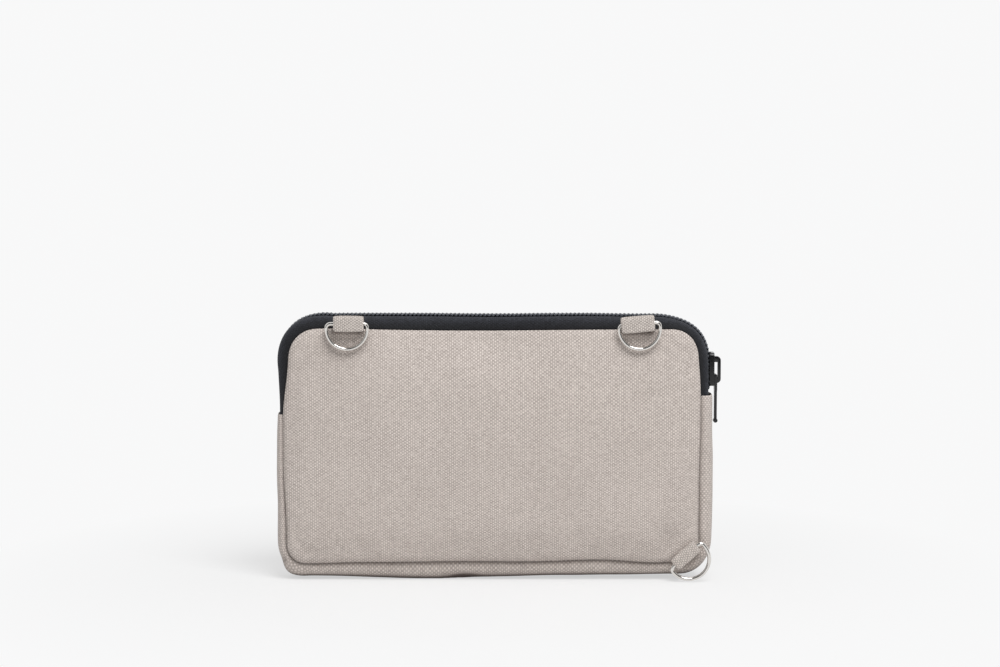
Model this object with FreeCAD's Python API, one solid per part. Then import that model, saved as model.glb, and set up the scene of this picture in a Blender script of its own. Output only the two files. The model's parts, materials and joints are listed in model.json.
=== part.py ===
import FreeCAD
import Part
import math
import os

# Neck pouch wallet, in millimetres.
# +Z is up, +X runs along the width, and the back panel, which carries the rings, faces -Y.
# The origin is the middle of the flat base. A seam line runs round each panel, and the gusset
# and the zipper tapes stand out from it: their sections are drawn as (rise off the seam, depth y).

# Pouch
seam_width = 170.4          # side seam to side seam
seam_height = 101.2         # bottom seam to top seam
pouch_depth = 18.0          # back seam to front seam
panel_crown = 3.3           # how far each panel swells past its seam
fabric = 0.8                # canvas
upper_corner = 18.8         # radius of the seam line at the two upper corners
inner_corner = 1.2          # radius left inside the bindings at the two lower corners

# Gusset, a strip up both sides and along the bottom
gusset_bulge = 4.8
gusset_flat = 8.0           # flat middle, which the pouch stands on
fold_length = 8.0           # doubled canvas at its two upper ends

# Seams
seam_allowance = 4.0
binding_width = 0.8

# Layers inside the panels
layer_gap = 0.1
padding_thickness = 1.0
padding_gap = 0.4           # between the padding and the binding
lining_thickness = 0.3
pocket_height = 62.0
pocket_thickness = 0.4

# Zipper
tape_thickness = 0.6
tape_rise = 3.3
tape_flat = 9.8             # level part that the slider straddles
tape_tail = 8.0             # runs on under each folded end
zip_down_left = 18.1        # from the corner's centre down to the folded end
zip_past_slider = 3.4       # from the parked slider down to the folded end
coil_height = 1.6
coil_proud = 0.9            # coil above the tape
coil_width = 2.1
coil_slot = 1.4             # between the two coils, where the slider's post runs

# Slider
slider_length = 13.7
slider_width = 9.2
slider_tail_width = 8.4
slider_clearance = 0.2
top_plate = 1.2
bottom_plate = 1.0
post_length = 3.5
post_end = 0.55             # post to the mouth of the slider
plate_round = 1.4
bail_width = 2.0
bail_thickness = 1.3
bail_leg = 2.4
bail_mouth_end = 0.95       # bail to the mouth of the slider
bail_tail_end = 1.65        # bail to the tail of the slider
bail_round = 1.7

# Pull
pull_pin_radius = 0.55
pull_clearance = 0.25
pull_arm = 0.8
pull_arm_gap = 0.35         # each side of the bail
pull_eye = 4.5              # pin to the lower end of the eye
pull_bridge = 1.2           # below the eye, before the pull narrows
pull_shaft_width = 2.6
pull_length = 19.7          # pin to the tip
pull_bead_radius = 0.9

# Rings and their tabs
wire = 1.56
ring_width = 18.3
ring_straight = 2.0         # bar to the start of the round end
ring_corner = 1.7
tab_width = 13.0
webbing = 0.9
bar_clearance = 0.05
ring_stand_off = 3.4        # bar off the seam
bar_above_root = 0.8
root_height = 2.2
root_depth = 0.1            # taken past the seam, then cut flush with the panel's skin
left_tab_inset = 24.9       # from the side seam
right_tab_inset = 26.0
right_tab_tilt = 5.0
lower_tab_angle = 42.0
lower_tab_in = 6.4          # from the right seam and the bottom seam to the lower bar
lower_tab_up = 6.3

# Worked out
half_width = seam_width / 2
seam_y = pouch_depth / 2
seam_low = gusset_bulge
seam_top = seam_low + seam_height
lower_corner = seam_allowance + binding_width + inner_corner
binding_inset = seam_allowance + binding_width
up_y = FreeCAD.Vector(0, 1, 0)
corner_x = half_width - upper_corner
corner_z = seam_top - upper_corner
coil_rise = tape_rise + coil_proud
track = upper_corner + coil_rise
gusset_end_left = corner_z - zip_down_left
gusset_end_right = corner_z - slider_length / 2 - zip_past_slider
plate_under = track + slider_clearance
plate_over = plate_under + top_plate
pin_rho = plate_over + pull_clearance + pull_pin_radius
bail_under = pin_rho + pull_pin_radius + pull_clearance
bail_over = bail_under + bail_thickness
mouth = -slider_length / 2
bail_low = mouth + bail_mouth_end
bail_high = slider_length / 2 - bail_tail_end
pin_s = bail_low + bail_leg + pull_clearance + pull_pin_radius


def vec(x, y, z):
    return FreeCAD.Vector(x, y, z)


def save(name, shape):
    clean = shape.removeSplitter()
    clean.exportStep("parts/" + name + ".step")
    box = clean.BoundBox
    print("%-20s %d solid, %9.1f mm3, x %.1f..%.1f y %.1f..%.1f z %.1f..%.1f, valid %s" % (
        name, len(clean.Solids), clean.Volume, box.XMin, box.XMax,
        box.YMin, box.YMax, box.ZMin, box.ZMax, clean.isValid()))


def block(x0, x1, y0, y1, z0, z1):
    return Part.makeBox(x1 - x0, y1 - y0, z1 - z0, vec(x0, y0, z0))


def fuse(shapes):
    return shapes[0].multiFuse(shapes[1:]) if len(shapes) > 1 else shapes[0]


def outline(inset, y):
    """Seam line moved inwards by inset, as a closed wire at depth y."""
    side = half_width - inset
    low = seam_low + inset
    top = seam_top - inset
    upper = upper_corner - inset
    lower = lower_corner - inset
    bend = math.sqrt(0.5)
    corners = (
        (side - lower, low + lower, lower, 1, -1),
        (side - upper, top - upper, upper, 1, 1),
        (-side + upper, top - upper, upper, -1, 1),
        (-side + lower, low + lower, lower, -1, -1),
    )
    arcs = []
    for x, z, radius, to_x, to_z in corners:
        on_side = vec(x + to_x * radius, y, z)
        middle = vec(x + to_x * radius * bend, y, z + to_z * radius * bend)
        on_level = vec(x, y, z + to_z * radius)
        ends = (on_level, on_side) if to_x * to_z < 0 else (on_side, on_level)
        arcs.append(Part.Arc(ends[0], middle, ends[1]).toShape())
    edges = []
    for index, arc in enumerate(arcs):
        following = arcs[(index + 1) % len(arcs)]
        edges.append(arc)
        edges.append(Part.makeLine(arc.lastVertex().Point, following.firstVertex().Point))
    return Part.Wire(Part.__sortEdges__(edges))


def outline_prism(inset, y0, y1):
    return Part.Face(outline(inset, y0)).extrude(vec(0, y1 - y0, 0))


def crown(x, z):
    """How far a panel stands past its seam at a place, highest in the middle."""
    across = x / half_width
    upward = (z - (seam_low + seam_height / 2)) / (seam_height / 2)
    return panel_crown * (1 - across ** 4) * (1 - upward ** 4)


def domed_sheet(inset, depth, thickness, top, facing):
    """A sheet that follows the crown, its outer face depth behind the seam plane."""
    columns = 15
    rows = 11
    overlap = 1.0
    grid = []
    for column in range(columns):
        x = (half_width + overlap) * (2 * column / (columns - 1) - 1)
        line = []
        for row in range(rows):
            z = seam_low - overlap + (seam_height + 2 * overlap) * row / (rows - 1)
            line.append(vec(x, facing * (seam_y - depth + crown(x, z)), z))
        grid.append(line)
    surface = Part.BSplineSurface()
    surface.interpolate(grid)
    slab = surface.toShape().extrude(vec(0, -facing * thickness, 0))
    reach = seam_y + 2 * panel_crown
    limit = outline_prism(inset, -reach, reach)
    if top < seam_top:
        limit = limit.common(block(-half_width, half_width, -reach, reach, 0, top))
    return slab.common(limit)


def bulge_arc(rise, flat, thickness):
    """Circle from the seam to the level middle: radius, its centre, and its inner end."""
    run = seam_y - flat
    radius = (run ** 2 + rise ** 2) / (2 * rise)
    centre = rise - radius
    inner = radius - thickness
    inner_y = flat + math.sqrt(inner ** 2 - (thickness - centre) ** 2)
    return radius, centre, inner_y


def arc_middle(start, end, centre):
    """The point halfway along an arc, in (rise, y)."""
    first = math.atan2(start[1] - centre[1], start[0] - centre[0])
    last = math.atan2(end[1] - centre[1], end[0] - centre[0])
    radius = math.hypot(start[0] - centre[0], start[1] - centre[1])
    turn = (first + last) / 2
    return (centre[0] + radius * math.cos(turn), centre[1] + radius * math.sin(turn))


def strip_side(rise, flat, thickness, facing):
    """The two runs of a strip's section at one seam: outer run and inner run, seam first."""
    radius, centre, inner_y = bulge_arc(rise, flat, thickness)
    hub = (centre, flat)
    tuck = seam_y - fabric
    outer = [("point", (-seam_allowance, tuck)), ("point", (0, tuck)), ("point", (0, seam_y)),
             ("arc", arc_middle((0, seam_y), (rise, flat), hub), (rise, flat))]
    inner = [("point", (-seam_allowance, tuck - thickness)), ("point", (0, tuck - thickness)),
             ("point", (thickness, inner_y)),
             ("arc", arc_middle((thickness, inner_y), (rise - thickness, flat), hub),
              (rise - thickness, flat))]
    return [turned(run, facing) for run in (outer, inner)]


def turned(run, facing):
    return [tuple([step[0]] + [(rise, facing * y) for rise, y in step[1:]]) for step in run]


def backwards(run):
    """The same run from its other end, keeping each arc's middle."""
    ends = [step[-1] for step in run]
    steps = [("point", ends[-1])]
    for index in range(len(run) - 1, 0, -1):
        if run[index][0] == "arc":
            steps.append(("arc", run[index][1], ends[index - 1]))
        else:
            steps.append(("point", ends[index - 1]))
    return steps


def section_face(steps, base, outward):
    """A closed section, with rise along outward from base and depth along Y."""
    def place(point):
        return base + outward * point[0] + up_y * point[1]
    edges = []
    here = place(steps[0][-1])
    for step in steps[1:] + [("point", steps[0][-1])]:
        there = place(step[-1])
        if step[0] == "arc":
            edges.append(Part.Arc(here, place(step[1]), there).toShape())
        else:
            edges.append(Part.makeLine(here, there))
        here = there
    return Part.Face(Part.Wire(edges))


def run_straight(steps, start, end, outward):
    return section_face(steps, start, outward).extrude(end - start)


def run_corner(steps, centre, radius, outward, turn):
    face = section_face(steps, centre + outward * radius, outward)
    return face.revolve(centre, up_y, turn)


def over_the_top(steps):
    """A section taken along the zipper's way: up the left, over the top, down the right."""
    left = vec(-1, 0, 0)
    right = vec(1, 0, 0)
    up = vec(0, 0, 1)
    left_centre = vec(-corner_x, 0, corner_z)
    right_centre = vec(corner_x, 0, corner_z)
    return [
        run_straight(steps, vec(-half_width, 0, gusset_end_left), vec(-half_width, 0, corner_z), left),
        run_corner(steps, left_centre, upper_corner, left, 90),
        run_straight(steps, vec(-corner_x, 0, seam_top), vec(corner_x, 0, seam_top), up),
        run_corner(steps, right_centre, upper_corner, up, 90),
        run_straight(steps, vec(half_width, 0, corner_z), vec(half_width, 0, gusset_end_right), right),
    ]


def under_the_bottom(steps):
    """A section taken along the gusset's way: down the left, along the bottom, up the right."""
    left = vec(-1, 0, 0)
    right = vec(1, 0, 0)
    down = vec(0, 0, -1)
    low = seam_low + lower_corner
    foot = half_width - lower_corner
    return [
        run_straight(steps, vec(-half_width, 0, gusset_end_left), vec(-half_width, 0, low), left),
        run_corner(steps, vec(-foot, 0, low), lower_corner, left, -90),
        run_straight(steps, vec(-foot, 0, seam_low), vec(foot, 0, seam_low), down),
        run_corner(steps, vec(foot, 0, low), lower_corner, down, -90),
        run_straight(steps, vec(half_width, 0, low), vec(half_width, 0, gusset_end_right), right),
    ]


def make_gusset():
    flat = gusset_flat / 2
    back = strip_side(gusset_bulge, flat, fabric, -1)
    front = strip_side(gusset_bulge, flat, fabric, 1)
    steps = back[0] + backwards(front[0]) + front[1] + backwards(back[1])
    pieces = under_the_bottom(steps)
    under = gusset_bulge - fabric
    for side, end in ((-1, gusset_end_left), (1, gusset_end_right)):
        near = side * (half_width + tape_rise)
        far = side * (half_width + under)
        pieces.append(block(min(near, far), max(near, far), -flat, flat, end - fold_length, end))
    return fuse(pieces)


def make_tape(facing):
    outer, inner = strip_side(tape_rise, tape_flat / 2, tape_thickness, facing)
    edge = coil_slot / 2 + coil_width
    steps = outer + [("point", (tape_rise, facing * edge)),
                     ("point", (tape_rise - tape_thickness, facing * edge))] + backwards(inner)
    pieces = over_the_top(steps)
    wide = tape_flat / 2
    for side, end in ((-1, gusset_end_left), (1, gusset_end_right)):
        near = side * (half_width + tape_rise - tape_thickness)
        far = side * (half_width + tape_rise)
        pieces.append(block(min(near, far), max(near, far), min(facing * edge, facing * wide),
                            max(facing * edge, facing * wide), end - tape_tail, end))
    return fuse(pieces)


def make_coil(facing):
    low = coil_rise - coil_height
    near = facing * coil_slot / 2
    far = facing * (coil_slot / 2 + coil_width)
    steps = [("point", (low, near)), ("point", (coil_rise, near)),
             ("point", (coil_rise, far)), ("point", (low, far))]
    return fuse(over_the_top(steps))


def make_binding(facing):
    deep = facing * (seam_y - fabric)
    shallow = facing * (seam_y - 2 * fabric)
    ring = outline_prism(seam_allowance, deep, shallow)
    return ring.cut(outline_prism(binding_inset, deep, shallow))


def make_gusset_lining():
    """A strip drawn flat across from one seam allowance to the other."""
    wide = seam_y - 2 * fabric
    steps = [("point", (0, -wide)), ("point", (0, wide)),
             ("point", (-lining_thickness, wide)), ("point", (-lining_thickness, -wide))]
    return fuse(under_the_bottom(steps))


def plate(rho0, rho1):
    """A slider plate between two radii: wide at the mouth, narrower at the tail, corners rounded."""
    tail = slider_length / 2
    corners = [(mouth, -slider_width / 2), (mouth, slider_width / 2),
               (tail, slider_tail_width / 2), (tail, -slider_tail_width / 2)]
    points = [vec(corner_x + rho0, y, corner_z + s) for s, y in corners]
    body = Part.Face(Part.makePolygon(points + points[:1])).extrude(vec(rho1 - rho0, 0, 0))
    upright = [edge for edge in body.Edges
               if abs(edge.Vertexes[0].Point.x - edge.Vertexes[1].Point.x) > (rho1 - rho0) / 2]
    return body.makeFillet(plate_round, upright)


def make_slider():
    sag = slider_length / 2
    under = coil_rise - coil_height
    inside = upper_corner + min(under, tape_rise - tape_thickness) - slider_clearance
    bottom_over = math.sqrt(inside ** 2 - sag ** 2)
    flange_low = upper_corner + tape_rise + slider_clearance + layer_gap
    channel = coil_slot / 2 + coil_width + slider_clearance + layer_gap
    top = plate(flange_low, plate_over)
    top = top.cut(block(corner_x + flange_low, corner_x + plate_under, -channel, channel,
                        corner_z - sag, corner_z + sag))
    bottom = plate(bottom_over - bottom_plate, bottom_over)
    post_half = coil_slot / 2 - slider_clearance - layer_gap / 2
    post = block(corner_x + bottom_over, corner_x + plate_under, -post_half, post_half,
                 corner_z + mouth + post_end, corner_z + mouth + post_end + post_length)
    bail = block(corner_x + plate_over, corner_x + bail_over, -bail_width / 2, bail_width / 2,
                 corner_z + bail_low, corner_z + bail_high)
    outer = [edge for edge in bail.Edges
             if abs(edge.Vertexes[0].Point.y - edge.Vertexes[1].Point.y) > bail_width / 2
             and edge.Vertexes[0].Point.x > corner_x + bail_under]
    bail = bail.makeFillet(bail_round, outer)
    bail = bail.cut(block(corner_x + plate_over, corner_x + bail_under, -bail_width, bail_width,
                          corner_z + bail_low + bail_leg, corner_z + bail_high - bail_leg))
    return fuse([top, bottom, post, bail])


def make_pull():
    x = corner_x + pin_rho
    z = corner_z + pin_s
    inner = bail_width / 2 + pull_arm_gap
    wide = inner + pull_arm
    thick = pull_pin_radius
    pieces = [Part.makeCylinder(thick, 2 * wide, vec(x, -wide, z), up_y)]
    for side in (-1, 1):
        pieces.append(block(x - thick, x + thick, min(side * inner, side * wide),
                            max(side * inner, side * wide), z - pull_eye - pull_bridge, z))
    narrow = pull_shaft_width / 2
    taper = [vec(x - thick, -wide, z - pull_eye), vec(x - thick, wide, z - pull_eye),
             vec(x - thick, wide, z - pull_eye - pull_bridge),
             vec(x - thick, narrow, z - pull_eye - 2 * pull_bridge),
             vec(x - thick, -narrow, z - pull_eye - 2 * pull_bridge),
             vec(x - thick, -wide, z - pull_eye - pull_bridge)]
    pieces.append(Part.Face(Part.makePolygon(taper + taper[:1])).extrude(vec(2 * thick, 0, 0)))
    tip = z - pull_length + pull_bead_radius
    pieces.append(block(x - thick, x + thick, -narrow, narrow, tip, z - pull_eye - 2 * pull_bridge))
    pieces.append(Part.makeCylinder(pull_bead_radius, 2 * narrow, vec(x, -narrow, tip), up_y))
    return fuse(pieces)


def wire_run(start, end):
    return Part.makeCylinder(wire / 2, (end - start).Length, start, end - start)


def wire_bend(centre, start, turn):
    """The ring's wire round a centre in the XZ plane, from a point, through an angle."""
    outward = start - centre
    circle = Part.Circle(start, up_y.cross(outward), wire / 2)
    return Part.Face(Part.Wire(circle.toShape())).revolve(centre, up_y, turn)


def make_ring():
    """A ring hanging straight down, its bar along X through the origin."""
    side = (ring_width - wire) / 2
    bar = side - ring_corner
    pieces = [wire_run(vec(-bar, 0, 0), vec(bar, 0, 0))]
    for to_x in (-1, 1):
        pieces.append(wire_bend(vec(to_x * bar, 0, -ring_corner), vec(to_x * bar, 0, 0), to_x * 90))
        pieces.append(wire_run(vec(to_x * side, 0, -ring_corner), vec(to_x * side, 0, -ring_straight)))
    pieces.append(wire_bend(vec(0, 0, -ring_straight), vec(side, 0, -ring_straight), 180))
    return fuse(pieces)


def tangent_point(centre, radius, point, side):
    """Where a line from a point touches a circle, on the chosen side, in (y, z)."""
    away = math.atan2(point[1] - centre[1], point[0] - centre[0])
    reach = math.hypot(point[0] - centre[0], point[1] - centre[1])
    turn = away + side * math.acos(radius / reach)
    return (centre[0] + radius * math.cos(turn), centre[1] + radius * math.sin(turn))


def make_tab():
    """Folded webbing round the bar at the origin, its root on the pouch's skin at +Y."""
    bore = wire / 2 + bar_clearance
    radius = bore + webbing
    root_y = ring_stand_off + root_depth
    high = (root_y, -bar_above_root)
    low = (root_y, -bar_above_root - root_height)
    touch_high = tangent_point((0, 0), radius, high, 1)
    touch_low = tangent_point((0, 0), radius, low, -1)
    front = (-radius, 0)

    def at(point):
        return vec(-tab_width / 2, point[0], point[1])
    edges = [Part.makeLine(at(low), at(high)), Part.makeLine(at(high), at(touch_high)),
             Part.Arc(at(touch_high), at(front), at(touch_low)).toShape(),
             Part.makeLine(at(touch_low), at(low))]
    loop = Part.Face(Part.Wire(edges)).extrude(vec(tab_width, 0, 0))
    hole = Part.makeCylinder(bore, tab_width, vec(-tab_width / 2, 0, 0), vec(1, 0, 0))
    return loop.cut(hole)


def placed(shape, x, z, tilt):
    """Turn a ring or tab by tilt, its right end up, and bring its bar to (x, z) off the seam."""
    copy = shape.copy()
    copy.rotate(vec(0, 0, 0), up_y, -tilt)
    copy.translate(vec(x, -seam_y - ring_stand_off, z))
    return copy


bar_height = seam_top + bar_above_root
ring_places = {
    "left": (-half_width + left_tab_inset, bar_height, 0),
    "right": (half_width - right_tab_inset, bar_height, right_tab_tilt),
    "lower": (half_width - lower_tab_in, seam_low + lower_tab_up, lower_tab_angle),
}

os.makedirs("parts", exist_ok=True)

padding_depth = fabric + layer_gap
lining_depth = padding_depth + padding_thickness + layer_gap
pocket_depth = lining_depth + lining_thickness + layer_gap
lining_inset = binding_inset + layer_gap
skins = {}
for end_name, facing in (("back", -1), ("front", 1)):
    skins[end_name] = [domed_sheet(0, 0, fabric, seam_top, facing), make_tape(facing)]
    save(end_name + "_panel", skins[end_name][0])
    save("zipper_tape_" + end_name, skins[end_name][1])
    save("zipper_coil_" + end_name, make_coil(facing))
    save("padding_" + end_name, domed_sheet(binding_inset + padding_gap, padding_depth,
                                            padding_thickness, seam_top, facing))
    save("lining_" + end_name, domed_sheet(lining_inset, lining_depth, lining_thickness,
                                           seam_top, facing))
    save("seam_binding_" + end_name, make_binding(facing))

gusset = make_gusset()
save("gusset_strip", gusset)
save("lining_gusset", make_gusset_lining())
save("card_pocket", domed_sheet(lining_inset, pocket_depth, pocket_thickness,
                                seam_low + pocket_height, -1))
save("slider_body", make_slider())
save("pull_tab", make_pull())

ring = make_ring()
tab = make_tab()
for side_name, (x, z, tilt) in ring_places.items():
    save("d_ring_" + side_name, placed(ring, x, z, tilt))
    tab_shape = placed(tab, x, z, tilt)
    for skin in skins["back"] + [gusset]:
        tab_shape = tab_shape.cut(skin)
    save("strap_tab_" + side_name, tab_shape)
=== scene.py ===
import bpy
import bmesh
import json
import math
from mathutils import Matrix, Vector, noise


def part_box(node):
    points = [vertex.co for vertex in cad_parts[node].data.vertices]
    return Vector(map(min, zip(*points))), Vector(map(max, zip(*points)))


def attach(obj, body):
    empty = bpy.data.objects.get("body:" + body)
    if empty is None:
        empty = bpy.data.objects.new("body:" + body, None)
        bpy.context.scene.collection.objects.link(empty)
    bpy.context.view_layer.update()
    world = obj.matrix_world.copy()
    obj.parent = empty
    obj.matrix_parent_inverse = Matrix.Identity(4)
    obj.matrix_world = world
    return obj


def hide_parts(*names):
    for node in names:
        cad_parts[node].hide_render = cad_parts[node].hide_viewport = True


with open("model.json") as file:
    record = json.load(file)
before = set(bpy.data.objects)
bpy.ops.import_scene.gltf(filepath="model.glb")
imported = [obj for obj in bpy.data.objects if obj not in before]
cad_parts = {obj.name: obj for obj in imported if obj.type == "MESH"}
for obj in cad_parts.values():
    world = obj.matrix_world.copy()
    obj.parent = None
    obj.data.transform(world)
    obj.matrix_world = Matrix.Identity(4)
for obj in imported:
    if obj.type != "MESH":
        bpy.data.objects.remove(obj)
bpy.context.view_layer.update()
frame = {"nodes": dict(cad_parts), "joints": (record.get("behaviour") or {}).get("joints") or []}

nodes = frame["nodes"]
mm = 0.001

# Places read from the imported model
panelLow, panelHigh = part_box("back_panel")
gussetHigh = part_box("gusset_strip")[1]
coilLow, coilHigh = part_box("zipper_coil_back")
jointPlace = {joint["name"]: joint["pos_m"] for joint in frame["joints"]}
cornerX, _, cornerZ = jointPlace["slider_round_corner"]
coilTop = coilHigh.z - cornerZ               # radius of the coil's outer side round a corner
seamDepth = gussetHigh.y
rightFold = gussetHigh.z                     # top of the gusset at the slider's side
leftFold = coilLow.z                         # and at the other side

# The sewn line round each panel, as the soft pouch shows it
seam = {
    "left": panelLow.x,
    "right": panelHigh.x + 0.3 * mm,
    "bottom": panelLow.z + 2.9 * mm,
    "top": panelHigh.z - 1.6 * mm,
    "upperRadius": 12.0 * mm,
    "lowerRadius": 8.0 * mm,
}
seamMiddleX = (seam["left"] + seam["right"]) / 2
seamMiddleZ = (seam["bottom"] + seam["top"]) / 2
seamHalfX = (seam["right"] - seam["left"]) / 2
seamHalfZ = (seam["top"] - seam["bottom"]) / 2


def clearSelection():
    if bpy.context.object and bpy.context.object.mode != "OBJECT":
        bpy.ops.object.mode_set(mode="OBJECT")
    bpy.ops.object.select_all(action="DESELECT")


def activate(piece):
    clearSelection()
    piece.select_set(True)
    bpy.context.view_layer.objects.active = piece


def editMode():
    bpy.ops.object.mode_set(mode="EDIT")
    return bmesh.from_edit_mesh(bpy.context.object.data)


def objectMode():
    bpy.ops.object.mode_set(mode="OBJECT")


def named(name):
    piece = bpy.context.object
    piece.name = name
    piece.data.name = name
    return piece


def settle(piece):
    activate(piece)
    bpy.ops.object.transform_apply(location=True, rotation=True, scale=True)


def addModifier(piece, kind, **values):
    activate(piece)
    modifier = piece.modifiers.new(kind.title(), kind)
    for key, value in values.items():
        setattr(modifier, key, value)
    bpy.ops.object.modifier_apply(modifier=modifier.name)


def refine(piece, levels=1):
    addModifier(piece, "SUBSURF", levels=levels, render_levels=levels)


def smoothAll(piece, angle=50):
    activate(piece)
    bpy.ops.object.shade_smooth_by_angle(angle=math.radians(angle))


def faceOut(piece):
    activate(piece)
    editMode()
    bpy.ops.mesh.select_all(action="SELECT")
    bpy.ops.mesh.remove_doubles(threshold=0.00001)
    bpy.ops.mesh.normals_make_consistent(inside=False)
    objectMode()


def finishPiece(piece, body, material, slot, *replaced):
    piece.data.materials.clear()
    piece.data.materials.append(material)
    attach(piece, body)
    if replaced:
        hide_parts(*replaced)


def fade(value, start, end):
    t = min(1.0, max(0.0, (value - start) / (end - start)))
    return t * t * (3 - 2 * t)


def bump(value, centre, width):
    return math.exp(-((value - centre) / width) ** 2)


def ripple(x, y, z, size):
    return noise.noise(Vector((x, y, z)) / size)


# A fade over a span given in millimetres
def fadeOver(value, span):
    return fade(value, span[0] * mm, span[1] * mm)


# Swells in a row, each with its size, its centre and its width, in millimetres
def swells(value, rows):
    return sum(size * bump(value, centre * mm, width * mm) for size, centre, width in rows)


# Distance of a place outside the sewn line, negative inside it
def seamDistance(x, z):
    radius = seam["upperRadius"] if z > seamMiddleZ else seam["lowerRadius"]
    dx = abs(x - seamMiddleX) - seamHalfX + radius
    dz = abs(z - seamMiddleZ) - seamHalfZ + radius
    outside = math.hypot(max(dx, 0), max(dz, 0))
    return outside + min(max(dx, dz), 0) - radius


# How the soft seam strays from its outline: spans and swells in millimetres
strayShape = {
    "sides": (55, 84), "upper": (78, 102), "lower": (8, 30),
    "leftSwell": [(0.5, 96, 8)], "leftIn": 0.9, "leftWaist": 1.0, "leftWaistRise": (20, 48), "leftTop": (68, 90),
    "rightIn": 0.5, "rightFoot": 0.5, "rightFootTop": (40, 66), "rightPinch": [(1.0, 94, 9)],
    "topEdge": [(0.4, -64, 14), (-0.75, -4, 38)],
    "baseRising": [(0.2, -12, 16), (0.85, 42, 16)],
    "baseFalling": [(0.8, -78, 16), (0.2, -45, 18), (0.5, 64, 10)],
    "topInwards": [(2.5, 1, 30)],
}


# Stray of the seam at a place: sideways, into the pouch and upwards
def seamStray(x, z):
    shape = strayShape
    left = fadeOver(-x, shape["sides"])
    right = fadeOver(x, shape["sides"])
    upper = fadeOver(z, shape["upper"])
    waist = shape["leftIn"] + shape["leftWaist"] * fadeOver(z, shape["leftWaistRise"])
    foot = shape["rightIn"] + shape["rightFoot"] * (1 - fadeOver(z, shape["rightFootTop"]))
    sideways = left * swells(z, shape["leftSwell"])
    sideways -= left * (1 - fadeOver(z, shape["leftTop"])) * waist
    sideways -= right * (foot + swells(z, shape["rightPinch"]))
    base = swells(x, shape["baseRising"]) - swells(x, shape["baseFalling"])
    upwards = upper * swells(x, shape["topEdge"]) + (1 - fadeOver(z, shape["lower"])) * base
    inwards = upper * swells(x, shape["topInwards"])
    return sideways * mm, inwards * mm, upwards * mm


# How the soft zipper strays from its own line, in millimetres
zipShape = {
    "raise": 0.3, "raisePower": 4, "middleDip": [(0.8, 0, 20)], "rightEnd": (35, 60), "leftEnd": (-78, -60),
    "rightCorner": 2.1, "leftCorner": 2.2, "leftCornerPeak": 0.9, "leftSide": [(0.3, 90, 9), (-1.9, 69, 11)],
}


def zipStray(x, z, out):
    shape = zipShape
    diagonal = abs(2 * out.x * out.z)
    raised = shape["raise"] * max(0, out.z) ** shape["raisePower"] * (1 - swells(x, shape["middleDip"]))
    raised *= (1 - fadeOver(x, shape["rightEnd"])) * fadeOver(x, shape["leftEnd"])
    if out.x > 0:
        return out * (raised + shape["rightCorner"] * diagonal ** 2 * out.x) * mm
    push = raised + shape["leftCorner"] * diagonal + shape["leftCornerPeak"] * diagonal ** 3
    push -= out.x * swells(z, shape["leftSide"])
    return out * push * mm


# Inwards from a place to the sewn line
def toSeam(x, z, nx, nz):
    depth = 0
    for _ in range(12):
        depth += seamDistance(x - nx * depth, z - nz * depth)
    return depth


def mapCloth(piece, mapping):
    layer = piece.data.uv_layers.new(name="cloth")
    for loop in piece.data.loops:
        layer.data[loop.index].uv = mapping(piece.data.vertices[loop.vertex_index].co)


# Painted shade in seams, grooves and under tabs, from 0 to 1 at each point
def markPaintedShade(piece, shades):
    layer = piece.data.attributes.new("paintedShade", "FLOAT", "POINT")
    for index, shade in enumerate(shades):
        layer.data[index].value = shade


class Graph:
    def __init__(self, name):
        self.material = bpy.data.materials.new(name)
        self.material.use_nodes = True
        self.nodes = self.material.node_tree.nodes
        self.links = self.material.node_tree.links
        self.shader = self.nodes["Principled BSDF"]

    def add(self, kind, inputs=(), **values):
        node = self.nodes.new(kind)
        for key, value in values.items():
            setattr(node, key, value)
        for index, source in enumerate(inputs):
            if source is None:
                continue
            if hasattr(source, "links"):
                self.links.new(source, node.inputs[index])
            else:
                node.inputs[index].default_value = source
        return node

    def math(self, operation, *inputs):
        return self.add("ShaderNodeMath", inputs, operation=operation).outputs[0]

    def mix(self, factor, first, second):
        node = self.add("ShaderNodeMix", data_type="RGBA")
        for socket, source in ((0, factor), (6, first), (7, second)):
            if hasattr(source, "links"):
                self.links.new(source, node.inputs[socket])
            else:
                node.inputs[socket].default_value = source
        return node.outputs[2]

    def noise(self, vector, scale, detail=2.0, roughness=0.5):
        node = self.add("ShaderNodeTexNoise", [vector])
        node.inputs["Scale"].default_value = scale
        node.inputs["Detail"].default_value = detail
        node.inputs["Roughness"].default_value = roughness
        return node.outputs["Fac"]

    def range(self, value, low, high, newLow, newHigh):
        return self.add("ShaderNodeMapRange", [value, low, high, newLow, newHigh]).outputs[0]

    def set(self, name, value):
        socket = self.shader.inputs[name]
        if hasattr(value, "links"):
            self.links.new(value, socket)
        else:
            socket.default_value = value

    def bumpFrom(self, height, distance, strength=1.0):
        node = self.add("ShaderNodeBump")
        node.inputs["Strength"].default_value = strength
        node.inputs["Distance"].default_value = distance
        self.links.new(height, node.inputs["Height"])
        self.links.new(node.outputs[0], self.shader.inputs["Normal"])


def linear(red, green, blue):
    def channel(value):
        value = value / 255
        return value / 12.92 if value <= 0.04045 else ((value + 0.055) / 1.055) ** 2.4
    return (channel(red), channel(green), channel(blue), 1.0)


# What all the weaves share: noise scales, the part of a noise that counts, and the part of a crossing
weaveNoise = {
    "drift": 260, "driftBack": 180, "slub": 900, "cloud": 38, "low": 0.3, "high": 0.7,
    "trough": -0.75, "peak": 0.9, "fuzz": 0.5, "sheenRoughness": 0.5,
}
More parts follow.
